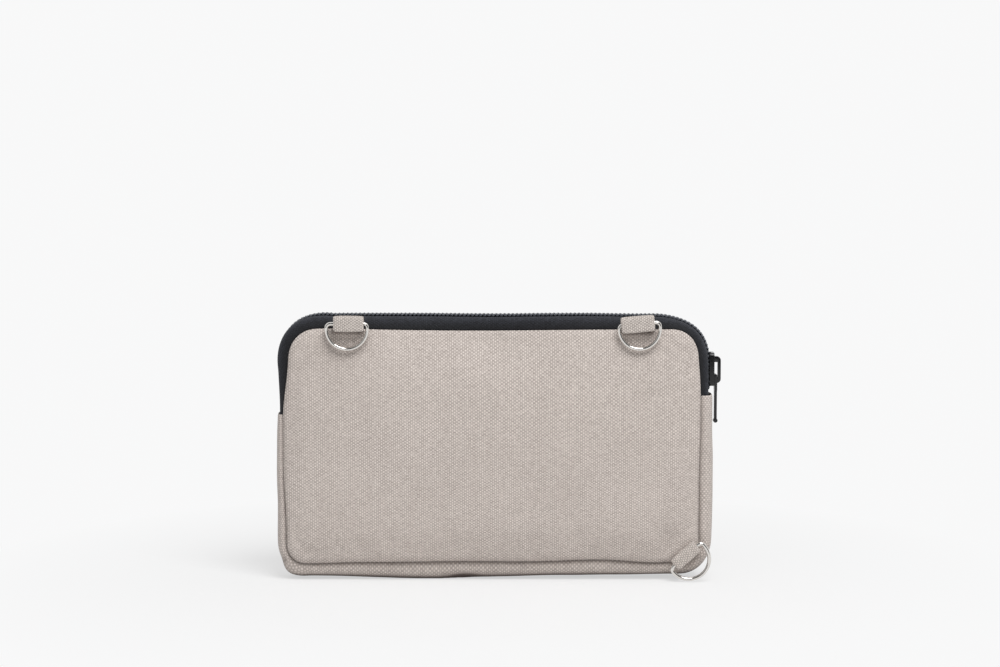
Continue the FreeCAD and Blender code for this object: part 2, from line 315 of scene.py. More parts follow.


# Plain weave: two sets of yarns, with painted highlight where a yarn crosses over and painted shade in the gaps;
# specks, streaks, slubs and clouds are the yarns' own tone
def makeWeave(name, look):
    graph = Graph(name)
    low, high = weaveNoise["low"], weaveNoise["high"]

    def added(total, value, share):
        return graph.math("ADD", total, graph.math("MULTIPLY", value, share))

    def drifting(place, drift):
        return graph.math("ADD", place, graph.range(drift, 0, 1, -look["drift"], look["drift"]))

    place = graph.add("ShaderNodeUVMap", uv_map="cloth").outputs[0]
    split = graph.add("ShaderNodeSeparateXYZ", [place])
    across = drifting(split.outputs[0], graph.noise(place, weaveNoise["drift"], 2))
    along = drifting(split.outputs[1], graph.noise(place, weaveNoise["driftBack"], 2))
    warp = graph.math("DIVIDE", across, look["warpPitch"])
    weft = graph.math("DIVIDE", along, look["weftPitch"])
    warpWave = graph.math("SINE", graph.math("MULTIPLY", warp, math.pi))
    weftWave = graph.math("SINE", graph.math("MULTIPLY", weft, math.pi))
    crossing = graph.math("MULTIPLY", warpWave, weftWave)
    crown = graph.range(crossing, weaveNoise["trough"], weaveNoise["peak"], 0, 1)
    warpRib = graph.math("ABSOLUTE", warpWave)
    gapHeight = graph.math("MULTIPLY", warpRib, graph.math("ABSOLUTE", weftWave))
    height = added(graph.math("MULTIPLY", crown, look["crown"]), gapHeight, look["gap"])
    height = added(height, warpRib, look["rib"])
    warpCount = graph.math("FLOOR", warp)
    crossed = graph.add("ShaderNodeCombineXYZ", [warpCount, graph.math("FLOOR", weft)])
    speck = graph.add("ShaderNodeTexWhiteNoise", [crossed.outputs[0]], noise_dimensions="2D").outputs[0]
    warpYarn = graph.add("ShaderNodeTexWhiteNoise", [None, warpCount], noise_dimensions="1D").outputs[0]
    slub = graph.noise(place, weaveNoise["slub"], 2)
    cloud = graph.noise(place, weaveNoise["cloud"], 3)
    shade = added(graph.math("MULTIPLY", height, look["contrast"]), speck, look["speck"])
    shade = added(shade, warpYarn, look["streak"])
    shade = graph.math("ADD", shade, graph.range(slub, low, high, 0, look["slub"]))
    shade = graph.math("ADD", shade, graph.range(cloud, low, high, 0, look["cloud"]))
    # Painted shade: this attribute darkens the colour towards the look's seam colour
    paintedShade = graph.add("ShaderNodeAttribute", attribute_name="paintedShade").outputs["Fac"]
    graph.set("Base Color", graph.mix(paintedShade, graph.mix(shade, look["dark"], look["light"]), look["seam"]))
    graph.set("Roughness", look["roughness"])
    graph.set("Specular IOR Level", look["gloss"])
    graph.set("Sheen Weight", look["sheen"])
    graph.set("Sheen Roughness", weaveNoise["sheenRoughness"])
    graph.bumpFrom(added(height, slub, weaveNoise["fuzz"]), look["relief"])
    return graph.material


# seam is the colour that painted seam shade darkens to
canvasLook = {
    "warpPitch": 0.88 * mm, "weftPitch": 0.60 * mm, "drift": 0.10 * mm, "relief": 0.10 * mm,
    "contrast": 0.74, "crown": 0.62, "gap": 0.14, "rib": 0.30,
    "speck": 0.18, "streak": 0.03, "slub": 0.08, "cloud": 0.06,
    "dark": linear(122, 111, 105), "light": linear(228, 218, 211), "seam": linear(80, 68, 61),
    "roughness": 0.92, "gloss": 0.18, "sheen": 0.12,
}
canvas = makeWeave("canvas", canvasLook)
webbingLook = {
    **canvasLook, "warpPitch": 0.80 * mm, "weftPitch": 0.54 * mm, "contrast": 1.0,
    "dark": linear(80, 71, 65), "light": linear(216, 207, 200),
}
webbing = makeWeave("tabWebbing", webbingLook)
# seam is the tape's colour under painted shade, at its seam and in the groove under the coil
tapeLook = {
    "warpPitch": 0.86 * mm, "weftPitch": 0.70 * mm, "drift": 0.12 * mm, "relief": 0.12 * mm,
    "contrast": 0.60, "crown": 0.6, "gap": 0.2, "rib": 0.2,
    "speck": 0.45, "streak": 0.05, "slub": 0.14, "cloud": 0.10,
    "dark": linear(2, 3, 6), "light": linear(56, 58, 66), "seam": linear(5, 5, 6),
    "roughness": 0.75, "gloss": 0.3, "sheen": 0.06,
}
tapeCloth = makeWeave("zipperTape", tapeLook)


def makePlastic(name, look):
    graph = Graph(name)
    place = graph.add("ShaderNodeTexCoord").outputs["Object"]
    grain = graph.noise(place, look["grain"], 3)
    graph.set("Base Color", graph.mix(grain, look["dark"], look["light"]))
    graph.set("Roughness", graph.range(grain, 0.3, 0.7, look["smooth"], look["rough"]))
    graph.set("Metallic", look["metal"])
    graph.bumpFrom(grain, look["relief"], 0.5)
    return graph.material


coilNylon = makePlastic("coilNylon", {
    "grain": 2500, "dark": linear(44, 47, 53), "light": linear(88, 92, 101),
    "smooth": 0.22, "rough": 0.36, "metal": 0.0, "relief": 0.02 * mm,
})
sliderPaint = makePlastic("sliderPaint", {
    "grain": 1500, "dark": linear(12, 12, 13), "light": linear(22, 22, 24),
    "smooth": 0.16, "rough": 0.30, "metal": 0.0, "relief": 0.01 * mm,
})
ringMetal = makePlastic("ringNickel", {
    "grain": 900, "dark": linear(214, 210, 205), "light": linear(230, 227, 223),
    "smooth": 0.08, "rough": 0.15, "metal": 1.0, "relief": 0.002 * mm,
})
feltPadding = makePlastic("feltPadding", {
    "grain": 1200, "dark": linear(205, 204, 198), "light": linear(232, 231, 226),
    "smooth": 0.9, "rough": 1.0, "metal": 0.0, "relief": 0.1 * mm,
})
liningCloth = makePlastic("liningCloth", {
    "grain": 1800, "dark": linear(120, 116, 110), "light": linear(146, 141, 135),
    "smooth": 0.7, "rough": 0.85, "metal": 0.0, "relief": 0.03 * mm,
})
bindingTape = makePlastic("bindingTape", {
    "grain": 1600, "dark": linear(32, 33, 36), "light": linear(54, 55, 60),
    "smooth": 0.75, "rough": 0.9, "metal": 0.0, "relief": 0.03 * mm,
})
print("materials made")


# Crowned, padded panel, worked from a grid whose lines gather towards the seam
panelSize = {
    "gather": 1.6, "crown": 3.5 * mm, "across": 4.5, "upper": 2.2, "lower": 8.0,
    "tuck": 0.9 * mm, "roll": 1.1 * mm, "rollWidth": 1.0 * mm,
    "wave": 0.28 * mm, "waveLength": 22 * mm, "waveFrom": 12 * mm, "dentFrom": 4 * mm,
    # shade and shadeWidth set the painted shade along the seam
    "shade": 0.7, "shadeWidth": 0.38 * mm, "leastRadius": 0.5 * mm,
}


def roundCorner(x, z, inset, radius):
    dx = abs(x - seamMiddleX) - seamHalfX + inset + radius
    dz = abs(z - seamMiddleZ) - seamHalfZ + inset + radius
    if dx <= 0 or dz <= 0:
        return x, z
    pull = max(dx, dz) / math.hypot(dx, dz)
    signX = 1 if x > seamMiddleX else -1
    signZ = 1 if z > seamMiddleZ else -1
    return x + signX * dx * (pull - 1), z + signZ * dz * (pull - 1)


# The back panel's dents: at the middle of the zipper, under each ring and beside the lower tab
dentSize = {
    "zip": 1.7 * mm, "zipX": 1 * mm, "zipWidth": 28 * mm, "zipReach": 26 * mm,
    "notch": 0.8 * mm, "notchX": 1.5 * mm, "notchWidth": 4.5 * mm, "notchDown": 6 * mm, "notchHeight": 9 * mm,
    "ring": 1.1 * mm, "ringWidth": 12 * mm, "ringDown": 10 * mm, "ringHeight": 9 * mm,
    "low": 1.1 * mm, "lowAside": 6 * mm, "lowWidth": 5 * mm,
}
upperRings = ("ring_left_swing", "ring_right_swing")


def backDents(x, z):
    size = dentSize
    fromTop = seam["top"] - z
    dent = size["zip"] * bump(x, size["zipX"], size["zipWidth"]) * math.exp(-fromTop / size["zipReach"])
    notch = bump(x, size["notchX"], size["notchWidth"]) * bump(fromTop, size["notchDown"], size["notchHeight"])
    dent += size["notch"] * notch
    for ring in upperRings:
        ringX, _, ringZ = jointPlace[ring]
        under = bump(z, ringZ - size["ringDown"], size["ringHeight"])
        dent += size["ring"] * bump(x, ringX, size["ringWidth"]) * under
    lowX, _, lowZ = jointPlace["ring_lower_swing"]
    beside = bump(x, lowX - size["lowAside"], size["lowWidth"])
    return dent + size["low"] * beside * bump(z, lowZ + size["lowAside"], size["lowWidth"])


# The weave runs a little off the grain across the middle of a panel
grainSize = {"drift": 5.0 * mm, "span": (-85, 40), "middle": 56 * mm, "height": 34 * mm}


def grainDrift(x, z):
    size = grainSize
    return size["drift"] * fadeOver(x, size["span"]) * bump(z, size["middle"], size["height"])


# Painted shade along the seams: strongest along the bottom, fading up both sides and gone along the zipper
seamShade = {
    "side": 0.75, "sideSpan": (60, 82), "sideRise": (26, 62), "rightShare": 0.5, "zip": 0.9, "zipRise": (70, 96),
    "mottle": 0.4, "mottleSize": 1.6 * mm, "least": 0.65, "deep": 0.35, "deepRight": [(1, 62, 12)],
    "deepLeft": (66, 80), "deepRise": (14, 22),
}


def sideFade(x, z):
    look = seamShade
    share = look["rightShare"] if x > 0 else 1
    side = 1 - look["side"] * fadeOver(abs(x), look["sideSpan"]) * fadeOver(z, look["sideRise"]) * share
    return side * (1 - look["zip"] * fadeOver(z, look["zipRise"]))


# Painted shade on a panel, darkest right at its seam
def panelShade(x, z, inset):
    look = seamShade
    shade = panelSize["shade"] * sideFade(x, z) * (1 + look["mottle"] * ripple(x, 0, z, look["mottleSize"]))
    deep = max(swells(x, look["deepRight"]), fadeOver(-x, look["deepLeft"]), fadeOver(z, look["deepRise"]))
    shade *= look["least"] + look["deep"] * deep
    return shade * math.exp((min(0, seamDistance(x, z)) - inset) / panelSize["shadeWidth"])


# Painted shadow under both upper tabs, and soft painted shade beside the lower tab and left of the left ring
tabShades = {
    "strength": 0.75, "edge": (5.4, 7.2), "under": 3.7 * mm, "height": 0.9 * mm,
    "shadeSpots": [(0.13, 72.8, 22.5, 7), (0.2, -65, 95, 9)],
}


def tabShade(x, z):
    look = tabShades
    shade = 0
    for ring in upperRings:
        ringX, _, ringZ = jointPlace[ring]
        shade += (1 - fadeOver(abs(x - ringX), look["edge"])) * bump(z, ringZ - look["under"], look["height"])
    for strength, spotX, spotZ, width in look["shadeSpots"]:
        away = math.hypot(x - spotX * mm, z - spotZ * mm)
        shade = max(shade, strength * bump(away, 0, width * mm))
    return look["strength"] * shade


# Depth of a panel's outer face, from the middle of the pouch
def panelDepth(x, z, facing, dents):
    size = panelSize
    inside = max(0.0, -seamDistance(x, z))
    a = (x - seamMiddleX) / seamHalfX
    b = (z - seamMiddleZ) / seamHalfZ
    swell = max(0.0, (1 - abs(a) ** size["across"]))
    swell *= max(0.0, (1 - abs(b) ** size["upper" if b > 0 else "lower"]))
    depth = seamDepth - size["tuck"] + (size["tuck"] + size["roll"]) * (1 - math.exp(-inside / size["rollWidth"]))
    wave = ripple(x, facing, z, size["waveLength"]) * fade(inside, 0, size["waveFrom"])
    depth += size["crown"] * swell + size["wave"] * wave
    return depth - dents(x, z) * fade(inside, 0, size["dentFrom"])


# The outer face settles as cloth: held at its seam, cut a little large and pressed out by the padding
clothSize = {
    "frames": 20, "quality": 6, "pressure": 6.0, "extra": 0.006, "mass": 0.02, "stiffness": 4.0, "bending": 0.6,
    "cap": 0.5 * mm, "held": 1.2 * mm, "free": 3.6 * mm,
}


def settleCloth(piece):
    size = clothSize
    activate(piece)
    before = [vertex.co.copy() for vertex in piece.data.vertices]
    group = piece.vertex_groups.new(name="seam")
    for index, co in enumerate(before):
        group.add([index], 1 - fade(-seamDistance(co.x, co.z), size["held"], size["free"]), "REPLACE")
    cloth = piece.modifiers.new("Cloth", "CLOTH")
    settings = cloth.settings
    settings.vertex_group_mass = group.name
    settings.quality = size["quality"]
    settings.mass = size["mass"]
    settings.use_pressure = True
    settings.uniform_pressure_force = size["pressure"]
    settings.shrink_min = -size["extra"]
    for kind in ("tension", "compression", "shear"):
        setattr(settings, kind + "_stiffness", size["stiffness"])
    settings.bending_stiffness = size["bending"]
    settings.effector_weights.gravity = 0
    cloth.collision_settings.use_collision = False
    cloth.point_cache.frame_start = 1
    cloth.point_cache.frame_end = size["frames"]
    scene = bpy.context.scene
    for frameNumber in range(1, size["frames"] + 1):
        scene.frame_set(frameNumber)
    bpy.ops.object.modifier_apply(modifier=cloth.name)
    scene.frame_set(1)
    piece.vertex_groups.remove(piece.vertex_groups["seam"])
    moved = []
    for vertex, start in zip(piece.data.vertices, before):
        offset = vertex.co - start
        moved.append(offset.length)
        if offset.length > size["cap"]:
            offset *= size["cap"] / offset.length
        vertex.co = start + offset
    print("cloth settled by up to", round(max(moved) / mm, 2), "mm, mean", round(sum(moved) / len(moved) / mm, 3))


# One layer of a panel: inset from the seam, and under the outer face by a depth
def makeLayer(name, facing, node, dents, layer):
    columns, rows = layer["grid"]
    clearSelection()
    bpy.ops.mesh.primitive_grid_add(x_subdivisions=columns, y_subdivisions=rows, size=2,
                                    rotation=(facing * -math.pi / 2, 0, 0))
    piece = named(name)
    settle(piece)
    inset = layer["inset"]
    top = layer.get("top", seam["top"] - inset)
    bottom = seam["bottom"] + inset
    shades = []
    for vertex in piece.data.vertices:
        u = max(-1, min(1, vertex.co.x))
        v = max(-1, min(1, vertex.co.z))
        gather = panelSize["gather"]
        x = seamMiddleX + (seamHalfX - inset) * math.copysign(1 - (1 - abs(u)) ** gather, u)
        z = (bottom + top) / 2 + (top - bottom) / 2 * math.copysign(1 - (1 - abs(v)) ** gather, v)
        radius = seam["upperRadius"] if z > seamMiddleZ else seam["lowerRadius"]
        x, z = roundCorner(x, z, inset, max(panelSize["leastRadius"], radius - inset))
        depth = panelDepth(x, z, facing, dents) - layer["under"]
        sideways, inwards, upwards = seamStray(x, z)
        vertex.co = Vector((x + sideways, facing * (depth - inwards), z + upwards))
        shade = panelShade(x, z, inset)
        shades.append(max(shade, tabShade(x, z)) if facing < 0 else shade)
    mapCloth(piece, lambda co: (co.x, co.z + grainDrift(co.x, co.z)))
    markPaintedShade(piece, shades)
    if "border" in layer:
        mesh = editMode()
        bpy.ops.mesh.select_all(action="DESELECT")
        for face in mesh.faces:
            centre = face.calc_center_median()
            face.select = seamDistance(centre.x, centre.z) < -inset - layer["border"]
        bmesh.update_edit_mesh(piece.data)
        bpy.ops.mesh.delete(type="FACE")
        objectMode()
    if layer["refined"]:
        settleCloth(piece)
    addModifier(piece, "SOLIDIFY", thickness=layer["thick"], offset=-1)
    if layer["refined"]:
        refine(piece)
    smoothAll(piece)
    finishPiece(piece, "pouch", layer["material"], layer["slot"], node)
    return piece


panelLayer = {"grid": (96, 60), "inset": 0, "under": 0, "thick": 0.8 * mm, "refined": True,
              "material": canvas, "slot": "canvas"}
paddingLayer = {"grid": (40, 26), "inset": 5.2 * mm, "under": 0.9 * mm, "thick": 1.0 * mm, "refined": False,
                "material": feltPadding, "slot": "padding"}
liningLayer = {"grid": (40, 26), "inset": 4.9 * mm, "under": 2.0 * mm, "thick": 0.3 * mm, "refined": False,
               "material": liningCloth, "slot": "lining"}
pocketLayer = {"grid": (40, 20), "inset": 4.9 * mm, "under": 2.4 * mm, "thick": 0.4 * mm, "refined": False,
               "material": liningCloth, "slot": "lining", "top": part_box("card_pocket")[1].z}
bindingLayer = {"grid": (96, 60), "inset": 1.9 * mm, "under": 0.85 * mm, "thick": 0.4 * mm, "refined": False,
                "material": bindingTape, "slot": "binding", "border": 4.0 * mm}
for end, facing, dents in (("back", -1, backDents), ("front", 1, lambda x, z: 0)):
    outer = makeLayer(end + "Panel", facing, end + "_panel", dents, panelLayer)
    felt = makeLayer(end + "Padding", facing, "padding_" + end, dents, paddingLayer)
    makeLayer(end + "Lining", facing, "lining_" + end, dents, liningLayer)
    makeLayer(end + "Binding", facing, "seam_binding_" + end, dents, bindingLayer)
makeLayer("cardPocket", -1, "card_pocket", backDents, pocketLayer)
print("panels made")


# A chain of points, cut open from a circle and laid where they belong
def startChain(name, points):
    clearSelection()
    bpy.ops.mesh.primitive_circle_add(vertices=len(points), radius=0.01)
    piece = named(name)
    mesh = editMode()
    mesh.verts.ensure_lookup_table()
    for vertex, point in zip(mesh.verts, points):
        vertex.co = point
    closing = [e for e in mesh.edges if {v.index for v in e.verts} == {0, len(points) - 1}]
    bmesh.ops.delete(mesh, geom=closing, context="EDGES_FACES")
    bmesh.update_edit_mesh(piece.data)
    bpy.ops.mesh.select_all(action="SELECT")
    return piece


def pushChain(offset, steps):
    for _ in range(steps):
        bpy.ops.mesh.extrude_region_move(TRANSFORM_OT_translate={"value": offset / steps})


def turnChain(centre, angle, steps):
    bpy.ops.mesh.spin(steps=steps, angle=-angle, center=centre, axis=(0, 1, 0))


# Gusset: a strip that bulges out of both seams
gussetSize = {
    "points": 25, "bulge": 4.6 * mm, "square": 2.5, "tuckIn": 0.7 * mm, "tuckBack": 1.7 * mm, "thick": 0.8 * mm,
    "sideSteps": 26, "cornerSteps": 12, "baseSteps": 80, "pinch": 1.1 * mm, "pinchWidth": 1.1 * mm,
    "pleatAt": 7.5 * mm, "pleatWidth": 0.9 * mm, "pleatFrom": 1.0 * mm, "pleatTo": 3.0 * mm,
    "pleatDepth": 0.7 * mm, "pleatBack": 4 * mm,
    "rightCorner": 0.4 * mm, "leftCorner": 1.5 * mm, "leftCornerDown": (0.85, 0.22),
    "dent": 1.3 * mm, "dentX": [(1, -13, 6)], "dentY": [(1, -6.5, 3)],
    "wave": 0.4 * mm, "waveLength": 16 * mm, "waveAcross": 0.6, "waveBase": 0.6,
    "side": 0.4 * mm, "rightHollow": 0.5 * mm, "rightHollowZ": 15 * mm,
    "leftHollow": 0.7 * mm, "hollowHeight": 8 * mm,
}
# Painted shade on the gusset: a line along its seam, a softer band below the seam, a dark fold at the base, the
# dark unlit underside of the base, and the pleat
gussetShades = {
    "seam": 0.3, "seamWidth": 0.6 * mm, "nearSeamShade": 0.12, "nearSeamShadeWidth": 1.8 * mm, "nearSeamShadeRight": 0.6,
    "fold": [(0.35, -15, 17)], "foldFrom": 2.6 * mm, "under": 0.95, "underFrom": 1.7 * mm, "underTo": 0.5 * mm,
    "pleat": 0.4,
}


def gussetSection(size):
    points = [(-size["tuckIn"], -seamDepth + size["tuckBack"])]
    for index in range(size["points"]):
        turn = math.pi * index / (size["points"] - 1)
        y = -math.cos(turn) * seamDepth
        lift = max(0.0, 1 - abs(y / seamDepth) ** size["square"]) ** (1 / size["square"])
        pinch = size["pinch"] * math.exp(-size["bulge"] * lift / size["pinchWidth"])
        points.append((size["bulge"] * lift, y * (1 - pinch / seamDepth)))
    points.append((-size["tuckIn"], seamDepth - size["tuckBack"]))
    return points


# Outward direction off the lower part of the sewn line
def outwardAt(x, z):
    radius = seam["lowerRadius"]
    dx = abs(x - seamMiddleX) - seamHalfX + radius
    dz = seam["bottom"] + radius - z
    side = 1 if x > seamMiddleX else -1
    if dx > 0 and dz > 0:
        reach = math.hypot(dx, dz)
        return Vector((side * dx / reach, 0, -dz / reach))
    if dz > dx:
        return Vector((0, 0, -1))
    return Vector((side, 0, 0))


def stripTravel(x, z):
    radius = seam["lowerRadius"]
    side = 1 if x > seamMiddleX else -1
    foot = seamHalfX - radius
    level = seam["bottom"] + radius
    across = abs(x - seamMiddleX)
    if z >= level:
        return side * (foot + radius * math.pi / 2 + z - level)
    if across <= foot:
        return side * across
    return side * (foot + radius * math.atan2(across - foot, level - z))


# The pouch's base hangs lowest left of the middle and rises towards both ends
baseSize = {
    "lowestX": -12 * mm, "left": 0.75 * mm, "leftSpan": (35, 70), "right": 1.6 * mm, "rightReach": 92 * mm,
    "rightPower": 0.62, "press": 0.5 * mm, "pressX": -26 * mm, "pressWidth": 22 * mm,
}


def baseRise(x):
    size = baseSize
    press = size["press"] * bump(x, size["pressX"], size["pressWidth"])
    if x < size["lowestX"]:
        return size["left"] * fadeOver(-x, size["leftSpan"]) - press
    return size["right"] * ((x - size["lowestX"]) / size["rightReach"]) ** size["rightPower"] - press


# A small pleat at the lower left corner, on the back half only
def gussetPleat(x, y, z, rise):
    size = gussetSize
    foot = seamHalfX - seam["lowerRadius"]
    pleat = bump(stripTravel(x, z), -foot - size["pleatAt"], size["pleatWidth"])
    return pleat * fade(rise, size["pleatFrom"], size["pleatTo"]) * fade(-y, 0, size["pleatBack"])


# Painted shade on the gusset at each point
def gussetShade(x, y, z, out, rise):
    look = gussetShades
    top = gussetSize["bulge"]
    down = max(0, -out.z)
    shade = look["seam"] * sideFade(x, z) * math.exp(-rise / look["seamWidth"])
    shade += look["nearSeamShade"] * math.exp(-rise / look["nearSeamShadeWidth"]) * max(down, look["nearSeamShadeRight"] * max(0, out.x))
    shade += swells(x, look["fold"]) * fade(rise, top - look["foldFrom"], top) * down
    shade = max(shade, look["under"] * fade(rise, top - look["underFrom"], top - look["underTo"]) * down ** 4)
    return max(shade, look["pleat"] * gussetPleat(x, y, z, rise))


# How far the strip is pushed out along its own outward direction
def gussetPush(x, y, z, out, rise, lift):
    size = gussetSize
    down = max(0, -out.z)
    if out.x < 0:
        push = size["leftCorner"] * bump(down, *size["leftCornerDown"]) * min(1, -2 * out.x) * lift
    else:
        push = -abs(2 * out.x * out.z) * lift * size["rightCorner"]
    push -= size["pleatDepth"] * gussetPleat(x, y, z, rise)
    push -= size["dent"] * swells(x, size["dentX"]) * swells(y, size["dentY"]) * lift * down
    wave = ripple(x, y * size["waveAcross"], z, size["waveLength"])
    push += size["wave"] * wave * lift * (1 - size["waveBase"] * abs(out.z))
    push += rise / size["bulge"] * (seam["bottom"] - baseRise(x) - size["bulge"]) * out.z ** 2
    if out.x > 0:
        hollow = size["rightHollow"] * bump(z, size["rightHollowZ"], size["hollowHeight"])
    else:
        hollow = size["leftHollow"] * bump(z, leftFold, size["hollowHeight"])
    return push + abs(out.x) * lift * (size["side"] - hollow)


def makeGusset():
    size = gussetSize
    section = gussetSection(size)
    level = seam["bottom"] + seam["lowerRadius"]
    foot = seamHalfX - seam["lowerRadius"]
    start = [Vector((seam["left"] - rise, y, leftFold)) for rise, y in section]
    piece = startChain("gussetStrip", start)
    pushChain(Vector((0, 0, level - leftFold)), size["sideSteps"])
    turnChain((seamMiddleX - foot, 0, level), -math.pi / 2, size["cornerSteps"])
    pushChain(Vector((2 * foot, 0, 0)), size["baseSteps"])
    turnChain((seamMiddleX + foot, 0, level), -math.pi / 2, size["cornerSteps"])
    pushChain(Vector((0, 0, rightFold - level)), size["sideSteps"])
    objectMode()
    faceOut(piece)
    arc = [0.0]
    for first, second in zip(section, section[1:]):
        arc.append(arc[-1] + math.dist(first, second))

    def along(co):
        place = (seamDistance(co.x, co.z), co.y)
        return arc[min(range(len(section)), key=lambda index: math.dist(section[index], place))]
    mapCloth(piece, lambda co: (stripTravel(co.x, co.z), along(co)))
    shades = []
    for vertex in piece.data.vertices:
        x, y, z = vertex.co
        out = outwardAt(x, z)
        rise = max(0, seamDistance(x, z))
        lift = fade(rise, 0, size["bulge"])
        shades.append(gussetShade(x, y, z, out, rise))
        sideways, _, upwards = seamStray(x, z)
        push = gussetPush(x, y, z, out, rise, lift)
        vertex.co += out * push + Vector((sideways, 0, upwards)) * (1 - lift)
    markPaintedShade(piece, shades)
    addModifier(piece, "SOLIDIFY", thickness=size["thick"], offset=-1)
    refine(piece)
    for vertex in piece.data.vertices:
        vertex.co.z = max(vertex.co.z, 0)
    smoothAll(piece)
    finishPiece(piece, "pouch", canvas, "canvas", "gusset_strip")


makeGusset()
print("gusset made")


# Zipper tapes run up the left, over the top and down the right, from the seam to the coil
tapeSize = {
    "across": 12, "sideSteps": 10, "cornerSteps": 18, "topSteps": 60, "thick": 0.6 * mm, "under": 2.0 * mm,
    "coilSide": 1.9 * mm, "coilLevel": 1.2 * mm, "puff": 0.8 * mm, "groove": 0.6 * mm, "hide": 0.7 * mm,
    "seamSide": seamDepth - panelSize["tuck"] - 0.1 * mm, "swell": 0.6 * mm, "shade": 0.8, "shadeSpan": (0.4, 1.0),
    "paintedShade": 0.95, "paintedShadeAt": (0.14, 0.09), "grooveAt": (0.13, 0.09), "tuckIn": 0.6 * mm, "tuckDown": 0.8 * mm,
    "dropPower": 1.9, "wave": 0.18 * mm, "waveLength": 14 * mm, "zipPower": 0.7, "seamPower": 1.5,
}


def overTheTop(name, points):
    size = tapeSize
    piece = startChain(name, points)
    pushChain(Vector((0, 0, cornerZ - leftFold + size["under"])), size["sideSteps"])
    turnChain((-cornerX, 0, cornerZ), math.pi / 2, size["cornerSteps"])
    pushChain(Vector((2 * cornerX, 0, 0)), size["topSteps"])
    turnChain((cornerX, 0, cornerZ), math.pi / 2, size["cornerSteps"])
    pushChain(Vector((0, 0, rightFold - size["under"] - cornerZ)), size["sideSteps"])
    objectMode()
    return piece


def zipOutward(x, z):
    dx = abs(x) - cornerX
    dz = z - cornerZ
    side = 1 if x > 0 else -1
    if dx > 0 and dz > 0:
        reach = math.hypot(dx, dz)
        return Vector((side * dx / reach, 0, dz / reach))
    if dx > dz:
        return Vector((side, 0, 0))
    return Vector((0, 0, 1))


def zipTravel(x, z):
    dx = abs(x) - cornerX
    dz = z - cornerZ
    side = 1 if x > 0 else -1
    if dx <= 0:
        return x
    if dz <= 0:
        return side * (cornerX + coilTop * math.pi / 2 - dz)
    return side * (cornerX + coilTop * math.atan2(dx, dz))


def makeTape(name, facing, node):
    size = tapeSize
    edge = coilTop - size["coilLevel"]
    points = []
    for index in range(size["across"] + 2):
        points.append(Vector((-cornerX - edge, facing * (index + 1) * mm, leftFold - size["under"])))
    piece = overTheTop(name, points)
    faceOut(piece)
    mapCloth(piece, lambda co: (zipTravel(co.x, co.z), facing * co.y))
    last = size["across"]
    shades = []
    for vertex in piece.data.vertices:
        x, y, z = vertex.co
        out = zipOutward(x, z)
        step = round(abs(y) / mm) - 1
        drop = toSeam(x, z, out.x, out.z)
        if step > last:
            share = 1.0
            depth = size["seamSide"] - size["tuckIn"]
            drop += size["tuckDown"]
        else:
            share = step / last
            depth = size["coilSide"] + (size["seamSide"] - size["coilSide"]) * share
            depth += size["swell"] * math.sin(math.pi * share) ** 2
        # Painted shade: the tape darkens towards its seam, with a painted dark line along the groove under the
        # coil
        paintedShade = size["paintedShade"] * bump(share, *size["paintedShadeAt"])
        shades.append(max(size["shade"] * fade(share, *size["shadeSpan"]), paintedShade))
        arch = math.sin(math.pi * share)
        sink = drop * share ** size["dropPower"] - arch * (size["puff"] + size["hide"] * max(0, -out.x))
        sink -= size["wave"] * ripple(x, facing * 3, z, size["waveLength"]) * arch
        sink += size["groove"] * bump(share, *size["grooveAt"])
        sideways, inwards, upwards = seamStray(x, z)
        near = zipStray(x, z, out) * (1 - share) ** size["zipPower"]
        far = Vector((sideways, -facing * inwards, upwards)) * share ** size["seamPower"]
        vertex.co = Vector((x, facing * depth, z)) - out * sink + near + far
    markPaintedShade(piece, shades)
    addModifier(piece, "SOLIDIFY", thickness=size["thick"], offset=-1)
    refine(piece)
    smoothAll(piece)
    finishPiece(piece, "pouch", tapeCloth, "tape", node)


makeTape("zipperTapeBack", -1, "zipper_tape_back")
makeTape("zipperTapeFront", 1, "zipper_tape_front")
print("tapes made")


# Zipper coils: one nylon filament each, wound in flat turns that mesh in the middle
coilSize = {
    "pitch": 1.71 * mm, "filament": 0.46 * mm, "perTurn": 10, "reach": 1.32 * mm, "height": 0.32 * mm,
    "middle": 1.32 * mm, "under": 1.2 * mm, "sinkLeft": 1.5 * mm, "sinkPower": 1.8, "clear": 0.02 * mm,
}


def zipPlace(travel):
    side = 1 if travel > 0 else -1
    rest = abs(travel) - cornerX
    quarter = coilTop * math.pi / 2
    if rest <= 0:
        return Vector((travel, 0, cornerZ)), Vector((0, 0, 1))
    if rest >= quarter:
        return Vector((side * cornerX, 0, cornerZ - (rest - quarter))), Vector((side, 0, 0))
    turn = rest / coilTop
    return Vector((side * cornerX, 0, cornerZ)), Vector((side * math.sin(turn), 0, math.cos(turn)))


